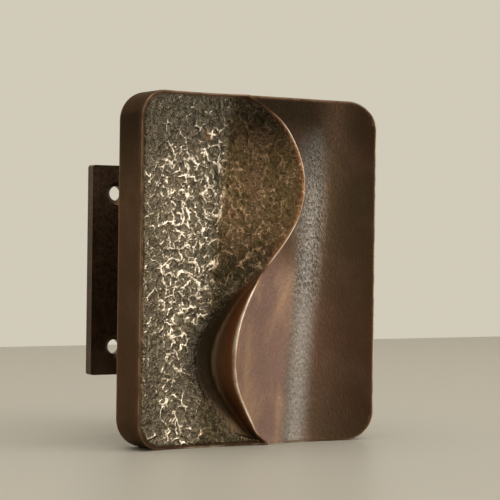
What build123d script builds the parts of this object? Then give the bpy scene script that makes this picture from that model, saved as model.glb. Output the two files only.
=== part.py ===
"""Door pull handle: a cast bronze panel with an S-curve relief, on a square mounting plate.

Millimetres, +Z up. The origin is the centre of the mounting plate's back face, which lies on the
door at Y = 0. The decorated face looks along -Y, and +X is on the right, seen from the front.
"""
import math
import os

from build123d import *

# Panel
PANEL_WIDTH = 118.0
PANEL_HEIGHT = 150.0
PANEL_THICKNESS = 21.0
PANEL_CORNER = 12.5
PANEL_RISE = 1.3
BACK_ARRIS = 1.2
FRONT_ARRIS = 0.5

# Mounting plate, its holes for the door's screws, and the hand gap in front of it
PLATE_SIZE = 94.0
PLATE_THICKNESS = 5.0
PLATE_CORNER = 1.3
HAND_GAP = 48.0
DOOR_HOLE_SPACING = 69.0
DOOR_HOLE_DIAMETER = 6.5
DOOR_HOLE_HEAD = 10.5

# Neck, cast in one with the panel
NECK_WIDTH = 32.0
NECK_HEIGHT = 66.0
NECK_CORNER = 6.0
NECK_FLARE = 6.0
NECK_ROOT_OVERLAP = 1.0

# Screws that hold the plate to the neck
SCREW_DIAMETER = 6.0
SCREW_HEAD = 11.2
SCREW_LENGTH = 18.0
SCREW_SPACING_X = 16.0
SCREW_SPACING_Z = 46.0
SCREW_SLOT_WIDTH = 1.6
SCREW_SLOT_DEPTH = 1.4
THREAD_HOLE_SPARE = 3.0

# Relief: how far the face lies behind the rim. A hollow run falls from the rim to a valley line,
# and beyond the valley a lobe climbs to the crest.
VALLEY_DEPTH = 7.6
VALLEY_X = -24.5
VALLEY_SLANT = 0.1
LOBE_SLOPE = 0.2556
LOBE_CURVE = 0.00173
LOBE_LIMIT = -10.0
VALLEY_ROUNDING = 1.2

# Relief: where a field runs past the other's lobe it is hollow, and its own lobe grows from there
LOBE_START = -58.0
LOBE_GROWTH = 38.0

# Relief: the whole face bows forward towards the top and bottom edges
BOW = 2.5

# Loft of one field: its reach to both sides, its points across and the heights of its outlines
FIELD_OVERHANG = 3.0
FIELD_REACH = 36.0
FIELD_STEPS = 20
FIELD_HEIGHTS = (-77.0, -58.0, -48.0, -39.0, -30.0, -20.0, 0.0, 20.0, 30.0, 39.0, 48.0, 58.0, 77.0)

# The S curve at the height of the lobes' crests, from the top edge to the bottom edge
S_CURVE = [
    (-10.0, 76.5), (-4.2, 73.1), (2.6, 68.7), (13.2, 55.8), (18.2, 37.0), (13.6, 18.7), (1.3, 0.5),
    (-9.8, -15.4), (-16.1, -37.5), (-13.9, -50.1), (-4.6, -65.9), (0.6, -71.6), (6.2, -74.6), (10.0, -76.5),
]

# The wall below the crest is a cove: it widens the S curve by a power of the depth
COVE_TOP = -4.6
COVE_RISE = 19.9
COVE_POWER = 1.642
COVE_DEPTHS = (-9.0, -4.6, 0.0, 4.8, 9.0)

# Places worked out from the dimensions above
PLATE_FRONT = -PLATE_THICKNESS
PANEL_BACK = PLATE_FRONT - HAND_GAP
RIM = PANEL_BACK - PANEL_THICKNESS
RELIEF_BASE = RIM + COVE_DEPTHS[-1]
RELIEF_FRONT = RIM + COVE_DEPTHS[0]
HALF_WIDTH = PANEL_WIDTH / 2
HALF_HEIGHT = PANEL_HEIGHT / 2
CLOSE = 0.01


def textured_recess(x, z):
    """Depth of the left, textured field behind the rim, at x and z from the panel's centre."""
    valley_x = VALLEY_X + VALLEY_SLANT * z
    climb = x - valley_x
    run = VALLEY_DEPTH * (1 - (min(climb, 0) / (valley_x + HALF_WIDTH)) ** 2)
    step = min(max((z - LOBE_START) / LOBE_GROWTH, 0.0), 1.0)
    grown = step ** 2 * (3 - 2 * step)
    lobe = VALLEY_DEPTH - grown * (LOBE_SLOPE * climb + LOBE_CURVE * max(climb, LOBE_LIMIT) ** 2)
    blend = math.exp(-run / VALLEY_ROUNDING) + math.exp(-lobe / VALLEY_ROUNDING)
    bow = BOW * (z / HALF_HEIGHT) ** 2 * (1 - (x / HALF_WIDTH) ** 2)
    return -VALLEY_ROUNDING * math.log(blend) - bow


def field_section(z, turn):
    """Closed outline of one field at height z. A turn of -1 gives the smooth field, the twin."""
    near = -HALF_WIDTH - FIELD_OVERHANG
    step = (FIELD_REACH - near) / FIELD_STEPS
    xs = [near + step * i for i in range(FIELD_STEPS + 1)]
    front = [(turn * x, RIM + textured_recess(x, turn * z), z) for x in xs]
    near_corner = (front[0][0], RELIEF_BASE, z)
    far_corner = (front[-1][0], RELIEF_BASE, z)
    edges = [
        Spline(*front),
        Line(front[-1], far_corner),
        Line(far_corner, near_corner),
        Line(near_corner, front[0]),
    ]
    return Wire(edges)


def relief_field(turn):
    """Solid under one field, lofted through its outlines at several heights."""
    return Solid.make_loft([field_section(z, turn) for z in FIELD_HEIGHTS])


def s_region(depth):
    """Closed outline of everything right of the S curve, at one depth behind the rim."""
    y = RIM + depth
    widening = 1 + (max(depth - COVE_TOP, 0.0) / COVE_RISE) ** COVE_POWER
    curve = [(x * widening, y, z) for x, z in S_CURVE]
    right = PANEL_WIDTH
    edges = [
        Spline(*curve),
        Line(curve[-1], (right, y, curve[-1][2])),
        Line((right, y, curve[-1][2]), (right, y, curve[0][2])),
        Line((right, y, curve[0][2]), curve[0]),
    ]
    return Wire(edges)


def right_of_s():
    """Solid right of the S curve, with the cove of both lobes as its left side."""
    return Solid.make_loft([s_region(depth) for depth in COVE_DEPTHS])


def block(width, height, corner, front, back):
    """Rounded rectangle seen from the front, from depth front to depth back."""
    outline = Plane.XZ * RectangleRounded(width, height, corner)
    # Plane.XZ looks along -Y, so the extrusion runs towards the front
    solid = extrude(outline, back - front)
    return Pos(0, back, 0) * solid


def make_panel():
    """Panel with the two fields of the relief, which meet along the S curve."""
    front = block(PANEL_WIDTH, PANEL_HEIGHT, PANEL_CORNER, RELIEF_FRONT, RELIEF_BASE)
    rear = block(PANEL_WIDTH, PANEL_HEIGHT, PANEL_CORNER, RELIEF_BASE, PANEL_BACK)
    region = right_of_s()
    textured = (front & relief_field(1)) - region
    smooth = (front & relief_field(-1)) & region
    return rear + textured + smooth


def on_outline(edge):
    """True for an edge that runs round the panel's outer side."""
    x, z = abs(edge.center().X), abs(edge.center().Z)
    on_side = math.isclose(x, HALF_WIDTH, abs_tol=CLOSE)
    on_end = math.isclose(z, HALF_HEIGHT, abs_tol=CLOSE)
    on_corner = x > HALF_WIDTH - PANEL_CORNER and z > HALF_HEIGHT - PANEL_CORNER
    return on_side or on_end or on_corner


def rounded_panel():
    """Panel with its outer arrises broken, first round the relief and then round the back."""
    panel = make_panel()
    front = [e for e in panel.edges() if on_outline(e) and e.bounding_box().max.Y < RELIEF_BASE]
    panel = chamfer(front, FRONT_ARRIS)
    back = [e for e in panel.edges() if e.bounding_box().min.Y > PANEL_BACK - CLOSE]
    return fillet(back, BACK_ARRIS)


def screw_places():
    """Centres of the screws that hold the plate to the neck."""
    return GridLocations(SCREW_SPACING_X, SCREW_SPACING_Z, 2, 2)


def door_hole_places():
    """Centres of the holes for the door's screws."""
    return GridLocations(DOOR_HOLE_SPACING, DOOR_HOLE_SPACING, 2, 2)


def countersunk_pin(diameter, head, length, from_door):
    """Screw shape with its head flush at Y = 0, or mirrored to enter from the plate's front."""
    cone = (head - diameter) / 2
    shape = Cylinder(diameter / 2, length, align=(Align.CENTER, Align.CENTER, Align.MIN))
    shape += Cone(head / 2, diameter / 2, cone, align=(Align.CENTER, Align.CENTER, Align.MIN))
    # the shape grows along +Z from its head; it is laid along Y
    if from_door:
        return Rot(90, 0, 0) * shape
    return Pos(0, PLATE_FRONT, 0) * Rot(-90, 0, 0) * shape


def at_places(shape, places):
    """The shape repeated at each place of a grid in the XZ plane."""
    return [Pos(place.position.X, 0, place.position.Y) * shape for place in places]


def neck_root(grip):
    """Edges where the neck meets the panel's back."""
    at_back = grip.edges().filter_by_position(Axis.Y, PANEL_BACK - CLOSE, PANEL_BACK + CLOSE)
    half_width = NECK_WIDTH / 2 + CLOSE
    half_height = NECK_HEIGHT / 2 + CLOSE
    return [e for e in at_back if abs(e.center().X) < half_width and abs(e.center().Z) < half_height]


def make_grip():
    """Casting: the panel and the neck behind it, with threaded holes in the neck's end."""
    neck = block(NECK_WIDTH, NECK_HEIGHT, NECK_CORNER, PANEL_BACK - NECK_ROOT_OVERLAP, PLATE_FRONT)
    grip = Pos(0, 0, PANEL_RISE) * rounded_panel() + neck
    grip = fillet(neck_root(grip), NECK_FLARE)
    depth = SCREW_LENGTH + THREAD_HOLE_SPARE
    hole = Cylinder(SCREW_DIAMETER / 2, depth, align=(Align.CENTER, Align.CENTER, Align.MIN))
    for one in at_places(Rot(90, 0, 0) * hole, screw_places()):
        grip -= one
    return grip


def make_plate():
    """Square plate with four countersunk holes for the door and four for the neck's screws."""
    plate = block(PLATE_SIZE, PLATE_SIZE, PLATE_CORNER, PLATE_FRONT, 0.0)
    door_hole = countersunk_pin(DOOR_HOLE_DIAMETER, DOOR_HOLE_HEAD, PLATE_THICKNESS, False)
    for one in at_places(door_hole, door_hole_places()):
        plate -= one
    neck_hole = countersunk_pin(SCREW_DIAMETER, SCREW_HEAD, PLATE_THICKNESS, True)
    for one in at_places(neck_hole, screw_places()):
        plate -= one
    return plate


def make_screws():
    """Countersunk slotted screws, driven from the plate's back into the neck."""
    screw = countersunk_pin(SCREW_DIAMETER, SCREW_HEAD, SCREW_LENGTH, True)
    screw -= Box(SCREW_HEAD, 2 * SCREW_SLOT_DEPTH, SCREW_SLOT_WIDTH)
    return Compound(children=at_places(screw, screw_places()))


if __name__ == "__main__":
    os.makedirs("parts", exist_ok=True)
    nodes = {"grip": make_grip(), "mounting_plate": make_plate(), "plate_screws": make_screws()}
    for name, shape in nodes.items():
        export_step(shape, f"parts/{name}.step")
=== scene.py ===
"""Finish of the door pull: the cast grip with its crinkled and smooth fields, the plate and its screws.

Lengths of the casting are in millimetres while its mesh is worked out, and become metres in the mesh.
Seen from the front, x runs to the right and z upwards from the panel's centre, and y runs to the door.
"""
import math
from collections import namedtuple

import bmesh
import bpy
import numpy as np
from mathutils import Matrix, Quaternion, Vector
from mathutils.geometry import delaunay_2d_cdt


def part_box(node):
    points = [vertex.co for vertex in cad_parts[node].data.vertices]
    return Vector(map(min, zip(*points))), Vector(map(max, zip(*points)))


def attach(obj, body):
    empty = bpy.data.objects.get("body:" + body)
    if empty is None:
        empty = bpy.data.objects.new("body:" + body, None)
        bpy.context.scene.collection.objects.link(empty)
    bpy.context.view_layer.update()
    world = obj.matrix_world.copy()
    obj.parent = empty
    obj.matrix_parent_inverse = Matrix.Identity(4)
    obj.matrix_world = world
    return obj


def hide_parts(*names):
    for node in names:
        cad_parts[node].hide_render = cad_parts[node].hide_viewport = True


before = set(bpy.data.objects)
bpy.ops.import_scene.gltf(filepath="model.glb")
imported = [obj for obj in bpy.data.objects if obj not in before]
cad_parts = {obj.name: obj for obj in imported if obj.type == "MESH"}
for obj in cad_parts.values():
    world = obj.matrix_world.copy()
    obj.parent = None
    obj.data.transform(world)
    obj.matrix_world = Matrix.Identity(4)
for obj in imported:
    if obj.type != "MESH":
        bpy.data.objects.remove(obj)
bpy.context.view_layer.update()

MM = 0.001

# The casting's outline, from the frame
grip_low, grip_high = (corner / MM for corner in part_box("grip"))
HALF_WIDTH = grip_high.x
HALF_HEIGHT = (grip_high.z - grip_low.z) / 2
RISE = (grip_high.z + grip_low.z) / 2
NECK_END = grip_high.y
PANEL_CORNER = 12.5
PANEL_BACK = -53.0
RIM = -74.0
FRONT_ARRIS = 0.9
BACK_ARRIS = 1.2

# The neck behind the panel and the screw holes in its end
NECK_HALF_WIDTH = 16.0
NECK_HALF_HEIGHT = 33.0
NECK_CORNER = 6.0
NECK_FLARE = 6.0
SCREW_RADIUS = 3.0
SCREW_SPACING_X = 16.0
SCREW_SPACING_Z = 46.0
HOLE_BOTTOM = -21.0

# The relief, as its depth behind the rim
VALLEY_DEPTH = 7.6
VALLEY_X = -24.5
VALLEY_SLANT = 0.1
LOBE_SLOPE = 0.2556
LOBE_CURVE = 0.00173
LOBE_LIMIT = -10.0
VALLEY_ROUNDING = 1.2
LOBE_START = -58.0
LOBE_GROWTH = 38.0
BOW = 2.5

# The crest of both lobes, an S from the top edge to the bottom edge
S_CURVE = [
    (-10.0, 76.5), (-4.2, 73.1), (2.6, 68.7), (13.2, 55.8), (18.2, 37.0), (13.6, 18.7), (1.3, 0.5),
    (-9.8, -15.4), (-16.1, -37.5), (-13.9, -50.1), (-4.6, -65.9), (0.6, -71.6), (6.2, -74.6), (10.0, -76.5),
]

# The cove below the crest, whose depth grows as a power of the way out from the crest
COVE_TOP = -4.6
COVE_RISE = 19.9
COVE_POWER = 0.609
COVE_LEAST_REACH = 4.0
COVE_BACK_SLOPE = 3.5
# The wall is at its tallest from this place of the crest outwards, and there it is rounded most
FULL_WALL_REACH = 7.0
CREST_ROUNDING = 2.1
LEAST_CREST_ROUNDING = 0.3
FOOT_ROUNDING = 1.2
LEAST_FOOT_ROUNDING = 0.2
LOW_FIELD_DROP = 3.0

# Spacing of the face's mesh: its rows, the points along them, and the points across the crest and its wall
ROW_STEP = 0.405
TEXTURE_STEP = 0.40
SMOOTH_STEP = 1.4
CORNER_STEP = 0.5
CREST_POINTS = [-1.4, -1.05, -0.75, -0.5, -0.3, -0.12, 0.05, 0.2, 0.36, 0.55, 0.8]
WALL_POINTS = 14
WALL_POINTS_GROWTH = 1.3
WALL_POINTS_REACH = 0.5
WALL_POINTS_SPARE = 0.8

# Spacing round the panel, closer where the S meets its edge
OUTLINE_STEP = 1.0
CREST_OUTLINE_STEP = 0.3
CREST_OUTLINE_REACH = 5.0
# Wear of the rings round the front arris, place and wear of those on the side, and wear round the back
ARRIS_WEAR = (0.6, 1.0, 0.9, 0.4, 0.1)
SIDE_RINGS = [(0.03, 0.12), (0.08, 0.02), (0.2, 0), (0.4, 0), (0.6, 0), (0.8, 0), (0.94, 0.02), (1.0, 0.2)]
BACK_ARRIS_WEAR = (0.47, 0.34, 0.21, 0.08)

# Rings across the back and down the neck, and the slight unevenness of the cast back
STRETCH_STEPS = (22, 8, 34, 8)
BACK_MARGIN = 1.0
BACK_RINGS = 9
BACK_UNEVEN = 0.22
BACK_UNEVEN_SIZE = 14
BACK_UNEVEN_START = 50
FLARE_RINGS = 6
NECK_RINGS = (0.25, 0.5, 0.75, 1.0)
HOLE_STEPS = 24
HOLE_INSIDE = 0.98
MERGE_DISTANCE = 1e-5

# Seeds of the random patterns
WARP_SEEDS = (11, 13)
CELL_SEED = 40
BACK_SEED = 41
CREASE_SEED = 70
TILT_SEED = 91
LOBE_EDGE_SEED = 95
SEEDS_PER_LEVEL = 5

# Crinkled texture: its height, how much of it the lobe loses, and the edge of the lobe past the valley
CRINKLE_HEIGHT = 0.9
LOBE_CALM = 0.6
LOBE_EDGE = (1.0, 5.5)
LOBE_EDGE_WAVE = 3.0
LOBE_EDGE_SIZE = 5.0
# Bending of the cells' grid: amount and size of its waves
WARPS = [(2.6, 6.5), (0.7, 1.9)]
# Size of the cells between the ridges, share of the height, and how sharply a ridge falls off
CRINKLE_LEVELS = [(5.6, 1.2, 0.27), (3.3, 0.95, 0.23), (2.1, 0.6, 0.20)]
CELL_TURN = 0.6
CELL_SQUEEZE = 0.8
# Mean and contrast of the patches where ridges fade and gather, and their size, the first one in cells
RIDGE_FADE = (0.58, 2.1)
RIDGE_FADE_SIZE = 0.8
CLUSTER = (0.85, 1.3)
CLUSTER_SIZE = 9.0
SLOPE_WIDTH = 3.5
LEAST_SLOPE = 0.4
# Size of the waves that leave creases, their stretch, direction in degrees and share of the height
CREASE_LEVELS = [(1.7, 2.2, 52, 0.42), (1.9, 2.6, 97, 0.36)]
CREASE_WIDTH = 0.30
CREASE_SHARPNESS = 3
CREASE_FADE = (0.5, 1.6)
CREASE_FADE_SIZE = (5.0, 7.0)
CREASE_SLOPE = 0.5
LEFT_CREASES = (46.0, 52.0)
LEFT_CREASE_STRENGTH = 0.8
# Shares of the crinkled height: its ridges, the slopes up to them, its ground and its tilting facets
RIDGE_SHARE = 0.42
SLOPE_SHARE = 0.42
SLOPE_GAIN = 1.3
GROUND_SHARE = 0.16
TILT_SHARE = 0.36
TILT_WAVES = [(1.0, 2.2, 3.0), (0.5, 1.1, 1.4)]

# Edges of the crinkled field: at the panel's edge, and before the foot of the lower lobe's wall
CRINKLE_MARGIN = (0.9, 2.3)
WALL_WIDTH = 0.42
HALVES_BLEND = 6.0
TEXTURE_GAP = 0.3
TEXTURE_FADE = 2.0
LOWER_TEXTURE_FADE = 1.6
CLEAR_STRIP = 4.4
CLEAR_STRIP_START = (16.0, 32.0)

# A star-shaped blob left by the casting, painted bright as a highlight through its ridge and wear, with a
# rusty spot at its left
BLOB = (-23.0, 57.5)
BLOB_SIZE = 1.3
BLOB_ARM = 0.7
BLOB_ARMS = 4
BLOB_TURN = 0.6
BLOB_RIDGE = 1.4
BLOB_HEIGHT = 0.5
BLOB_HIGHLIGHT = (0.159, 0.6136)
BLOB_STAIN = (-24.6, 56.7)
BLOB_STAIN_SIZE = 0.8
BLOB_STAIN_STRENGTH = 0.8

# Wear of the crests: its width down the lower wall and on the lower lobe, its middle and width above
LOWER_CREST_WEAR = (0.4, 0.9)
UPPER_CREST_WEAR = (-0.25, 0.55)
# Share of the crests' wear where the wall is low, and the painted shade that dims it near the top edge
LOW_WALL_WEAR = 0.3
TOP_WEAR_SHADE = 0.5
TOP_SHADED_WEAR = (58.0, 66.0)

# Wear of the arris: its width, its least strength, and the stretches where it is stronger
EDGE_WEAR_WIDTH = 0.7
EDGE_WEAR = 0.5
RIGHT_EDGE = (45.0, 55.0)
RIGHT_EDGE_WEAR = 0.5
BOTTOM_EDGE = (70.0, 73.0)
BELOW_LOBE = (-4.0, 0.0)
BELOW_LOBE_END = (-30.0, -22.0)
BELOW_LOBE_WEAR = 0.5
LOWER_LEFT = (12.0, 18.0)
LOWER_LEFT_END = (-36.0, -30.0)
LOWER_LEFT_WEAR = 0.4

# Rusty stain beside the crests: its width down the wall and on the lobe, and how it fades at the top
LOWER_STAIN = (1.3, 0.4)
UPPER_STAIN = (0.2, 1.1)
TOP_STAIN_LOSS = 0.7
TOP_STAIN = (50.0, 62.0)

# Painted highlight on the line at the foot of the lower lobe's wall: its middle and width, across and along
# the wall
FOOT_HIGHLIGHT_ACROSS = (0.7, 0.7)
FOOT_HIGHLIGHT_ALONG = (-33.0, 13.0)
FOOT_HIGHLIGHT_LEAST = 0.4
# Dark painted shadow of the lower lobe on the field outside that line
LOBE_SHADOW_DEPTH = (-14.4, -5.4)
LOBE_SHADOW_EDGE = 0.2

# Proud parts of the two lobes, which hands have rubbed: past the valley, and up and down the lobes
PROUD_START = (1.0, 8.0)
UPPER_PROUD = (-2.0, 24.0)
LOWER_PROUD = (-12.0, 6.0)
PROUD_TOP = (50.0, 67.0)

# Wax, with a painted sheen in its colour, thin on the crinkled field's run
CRINKLED_WAX = 0.2
CRINKLED_WAX_END = (1.0, 5.0)
# Band of wax and painted sheen along the smooth field's valley: its edges are places past the valley, and
# move near its top
WAX_TOP = (20.0, 60.0)
WAX_START = (-13.0, -3.0)
WAX_START_SHIFT = 3.0
WAX_END = -2.0
WAX_END_WIDTH = 11.0
WAX_END_WIDENING = 6.0
WAX_WIDENS = (5.0, 30.0)
WAX_PEAK = 1.5
WAX_TOP_LOSS = 0.5
WAX_FADES = (48.0, 66.0)

# Painted shade on the ridges: where they are less bright, and how much they lose there
TOP_DULL = (42.0, 64.0)
TOP_DULLING = 0.5
LEFT_DULL = (45.0, 51.0)
LEFT_DULLING = 0.4
BOTTOM_DULL = (22.0, 47.0)
BOTTOM_DULLING = 0.2
# Painted shadow of the lower lobe's wall on the ridges beside it
WALL_DULL_WIDTH = 9.0
WALL_DULL_TOP = (12.0, 24.0)
WALL_DULL_BOTTOM = (-66.0, -54.0)
WALL_DULLING = 0.7
LOBE_DULL = (-22.0, -4.0)
LOBE_DULLING = 0.2

# Linear colours of the bronze
BROWN = (0.088, 0.048, 0.028)
OLIVE_BROWN = (0.072, 0.047, 0.025)
WARM_BROWN = (0.108, 0.062, 0.039)
FIELD_DARK = (0.105, 0.084, 0.045)
FIELD_LIGHT = (0.140, 0.102, 0.060)
LOBE_FIELD = (0.060, 0.045, 0.023)
CREVICE_COLOUR = (0.018, 0.013, 0.007)
LOBE_SHADOW_COLOUR = (0.014, 0.010, 0.005)
FOOT_HIGHLIGHT_COLOUR = (0.20, 0.17, 0.10)
RUBBED_ROSE = (0.175, 0.106, 0.080)
RUBBED_GOLD = (0.275, 0.172, 0.105)
LOBE_OLIVE = (0.215, 0.142, 0.064)
LOBE_RUST = (0.290, 0.158, 0.084)
RIDGE_FLANK = (0.24, 0.150, 0.080)
LIGHT_MARK = (0.36, 0.30, 0.20)
RIDGE_TOP = (1.0, 0.86, 0.66)
LOBE_RIDGE_TOP = (0.40, 0.26, 0.15)
# Grey of the painted sheen on the wax
WAX_SHEEN_GREY = (0.185, 0.160, 0.116)
WAX_CRACK = (0.016, 0.012, 0.007)
STAIN_COLOUR = (0.36, 0.115, 0.028)
WORN_COPPER = (0.50, 0.28, 0.15)
WORN_BRIGHT = (1.0, 0.88, 0.70)
# Black that the painted shade mixes in
SHADE_BLACK = (0.0, 0.0, 0.0)
BRONZE_EDGE_TINT = (0.8, 0.68, 0.6)

# Linear colours of the plate and the screws
PLATE_DARK = (0.165, 0.105, 0.062)
PLATE_LIGHT = (0.215, 0.135, 0.082)
BRASS_DARK = (0.26, 0.17, 0.08)
BRASS_LIGHT = (0.38, 0.26, 0.12)

# Places in the materials, in metres: where painted shade darkens the bronze and the plate, and where the
# wax's grain turns coarse
DARK_TOP = (0.030, 0.070)
DARKER_RIGHT = (-0.020, 0.008)
LEFT_SIDE = (-0.0589, -0.0584)
FAR_RIGHT = (0.026, 0.045)
LOW_END = (-0.060, -0.025)
LOW_RIGHT = (0.018, 0.034)
SATIN_TOP = (0.030, 0.068)
COARSE_WAX = (-0.028, 0.008)
PLATE_SHADED_SIDE = (-0.0470, -0.0467)

# Broken edges of the plate and the screws
PLATE_BEVEL = 0.0004
SCREW_BEVEL = 0.0002
BEVEL_SEGMENTS = 2
BEVEL_FROM = 40

# Camera
CAMERA_PLACE = (-0.40352, -0.72855, 0.01442)
CAMERA_AIM = (-0.006465, -0.074, 0.010066)
CAMERA_ROLL = 0.746
CAMERA_LENS = 129.6

# Floor, wall and world
FLOOR_BACK = 0.60
FLOOR_SIDE = 3.0
FLOOR_ROUGHNESS = 0.42
FLOOR_SPECULAR = 0.2
WALL_Y = 1.6
WALL_SIDE = 4.0
WALL_TOP = 3.0
WALL_BELOW_FLOOR = 0.5
WALL_ROUGHNESS = 0.9
WALL_COLOUR = (0.640, 0.595, 0.490)
FLOOR_COLOUR = (0.62, 0.58, 0.49)
WORLD_COLOUR = (0.46, 0.43, 0.37)

# Softboxes: azimuth to the right of the panel's front, elevation, distance, width, height, power, spread
SOFTBOXES = {
    "key": (34, 8, 2.4, 0.76, 0.96, 2.88, 90),
    "side_fill": (62, 8, 2.6, 0.92, 1.04, 2.48, 90),
    "overhead": (10, 78, 1.1, 1.5, 1.5, 7.0, 180),
}


def smooth_step(t):
    t = np.clip(t, 0.0, 1.0)
    return t * t * (3 - 2 * t)


def ramp(value, start, end):
    """0 up to the start, 1 from the end on, and smooth between them."""
    return smooth_step((value - start) / (end - start))


def bell(value, middle, width):
    return np.exp(-((value - middle) / width) ** 2)


def smooth_max(a, b, width):
    """Larger of two surfaces, blended where they are closer than the width."""
    near = np.maximum(width - np.abs(a - b), 0.0) / width
    return np.maximum(a, b) + near * near * width / 4


def smooth_min(a, b, width):
    return -smooth_max(-a, -b, width)


def natural_spline(knots, values):
    """Function that gives the natural cubic spline through values at rising knots."""
    n = len(knots)
    h = np.diff(knots)
    matrix = np.eye(n)
    right = np.zeros(n)
    for i in range(1, n - 1):
        matrix[i, i - 1:i + 2] = h[i - 1], 2 * (h[i - 1] + h[i]), h[i]
        right[i] = 6 * ((values[i + 1] - values[i]) / h[i] - (values[i] - values[i - 1]) / h[i - 1])
    bend = np.linalg.solve(matrix, right)

    def at(q):
        i = np.clip(np.searchsorted(knots, q) - 1, 0, n - 2)
        a, b = knots[i + 1] - q, q - knots[i]
        near_end = values[i] / h[i] - bend[i] * h[i] / 6
        far_end = values[i + 1] / h[i] - bend[i + 1] * h[i] / 6
        return near_end * a + far_end * b + (bend[i] * a ** 3 + bend[i + 1] * b ** 3) / (6 * h[i])
    return at


s_rising = np.array(S_CURVE[::-1])
crest_x = natural_spline(s_rising[:, 1], s_rising[:, 0])


def lattice(seed):
    """Shuffled table that turns whole coordinates into fixed random numbers."""
    return np.random.default_rng(seed).permutation(256)


def cell_hash(table, i, j):
    return table[(table[i & 255] + j) & 255]


def gradient_noise(x, z, seed):
    """Smooth noise in the plane, about -0.7 to 0.7, with features one unit apart."""
    table = lattice(seed)
    i, j = np.floor(x).astype(int), np.floor(z).astype(int)
    u, v = x - i, z - j
    total = np.zeros_like(x)
    for di in (0, 1):
        for dj in (0, 1):
            angle = cell_hash(table, i + di, j + dj) * (math.tau / 256)
            weight = smooth_step(1 - np.abs(u - di)) * smooth_step(1 - np.abs(v - dj))
            total += weight * (np.cos(angle) * (u - di) + np.sin(angle) * (v - dj))
    return total


def cell_edges(x, z, seed):
    """Distance to the nearest edge between random cells one unit across: 0 on an edge."""
    table_x, table_z = lattice(seed), lattice(seed + 1)
    i, j = np.floor(x).astype(int), np.floor(z).astype(int)
    first = np.full_like(x, 9.0)
    second = np.full_like(x, 9.0)
    for di in (-1, 0, 1):
        for dj in (-1, 0, 1):
            px = i + di + 0.1 + 0.8 * cell_hash(table_x, i + di, j + dj) / 255
            pz = j + dj + 0.1 + 0.8 * cell_hash(table_z, i + di, j + dj) / 255
            distance = np.hypot(px - x, pz - z)
            second = np.minimum(second, np.maximum(first, distance))
            first = np.minimum(first, distance)
    return second - first


def warped(value, x, z, seed):
    """One coordinate, bent by waves of several sizes."""
    for k, (amount, size) in enumerate(WARPS):
        value = value + amount * gradient_noise(x / size, z / size, seed + k)
    return value


def patches(x, z, size, mean, contrast, seed):
    """0 to 1 in smooth patches of one size along x and one along z."""
    return smooth_step(mean + contrast * gradient_noise(x / size[0], z / size[1], seed))


def blob(x, z):
    """The star-shaped blob: 1 at its middle, fading along four arms."""
    around = np.arctan2(z - BLOB[1], x - BLOB[0])
    size = BLOB_SIZE + BLOB_ARM * np.cos(BLOB_ARMS * around + BLOB_TURN)
    return np.exp(-np.hypot(x - BLOB[0], z - BLOB[1]) / size)


def crinkle(x, z):
    """Crinkled skin: its height and its ridge lines, both 0 to 1. The lines branch and fade out."""
    u, v = warped(x, x, z, WARP_SEEDS[0]), warped(z, x, z, WARP_SEEDS[1])
    lines = np.zeros_like(x)
    slopes = np.zeros_like(x)
    for level, (size, share, width) in enumerate(CRINKLE_LEVELS):
        seed = CELL_SEED + SEEDS_PER_LEVEL * level
        c, s = math.cos(CELL_TURN + level), math.sin(CELL_TURN + level)
        distance = size / 2 * cell_edges((c * u + s * v) / size, CELL_SQUEEZE * (c * v - s * u) / size, seed)
        strength = patches(x, z, [RIDGE_FADE_SIZE * size] * 2, *RIDGE_FADE, seed + 2)
        strength *= patches(x, z, [CLUSTER_SIZE] * 2, *CLUSTER, seed + 3)
        lines = np.maximum(lines, share * strength * np.exp(-distance / width))
        reach = LEAST_SLOPE + (1 - LEAST_SLOPE) * strength
        slopes += share * reach * np.exp(-distance / (SLOPE_WIDTH * width))
    for level, (size, stretch, direction, share) in enumerate(CREASE_LEVELS):
        seed = CREASE_SEED + SEEDS_PER_LEVEL * level
        c, s = math.cos(math.radians(direction)), math.sin(math.radians(direction))
        along, across = c * u + s * v, c * v - s * u
        wave = gradient_noise(along / (stretch * size), across / size, seed)
        crease = 1 - np.minimum(np.abs(wave) / CREASE_WIDTH, 1.0)
        strength = patches(x, z, CREASE_FADE_SIZE, *CREASE_FADE, seed + 2)
        strength += level * LEFT_CREASE_STRENGTH * ramp(-x, *LEFT_CREASES)
        lines = np.maximum(lines, share * strength * crease ** CREASE_SHARPNESS)
        slopes += CREASE_SLOPE * share * crease
    lines = np.clip(np.maximum(lines, BLOB_RIDGE * blob(x, z)), 0.0, 1.0)
    tilt = np.zeros_like(x)
    for k, (amount, size_x, size_z) in enumerate(TILT_WAVES):
        tilt += amount * gradient_noise(x / size_x, z / size_z, TILT_SEED + k)
    sloping = 1 - np.exp(-SLOPE_GAIN * slopes)
    height = RIDGE_SHARE * lines + SLOPE_SHARE * sloping + GROUND_SHARE + TILT_SHARE * tilt
    return np.clip(height, 0.0, 1.0), lines


def field_recess(x, z):
    """Depth of the textured field behind the rim; the smooth field is its twin, turned half round."""
    valley_x = VALLEY_X + VALLEY_SLANT * z
    climb = x - valley_x
    run = VALLEY_DEPTH * (1 - (np.minimum(climb, 0) / (valley_x + HALF_WIDTH)) ** 2)
    grown = smooth_step((z - LOBE_START) / LOBE_GROWTH)
    lobe = VALLEY_DEPTH - grown * (LOBE_SLOPE * climb + LOBE_CURVE * np.maximum(climb, LOBE_LIMIT) ** 2)
    bow = BOW * (z / HALF_HEIGHT) ** 2 * (1 - (x / HALF_WIDTH) ** 2)
    return -VALLEY_ROUNDING * np.logaddexp(-run / VALLEY_ROUNDING, -lobe / VALLEY_ROUNDING) - bow


# What relief finds at the points of the face
Relief = namedtuple("Relief", "depth past side step over")


def crest_reach(z):
    """The crest's distance from the middle, which sets the width of its wall."""
    return np.maximum(np.abs(crest_x(z)), COVE_LEAST_REACH)


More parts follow.
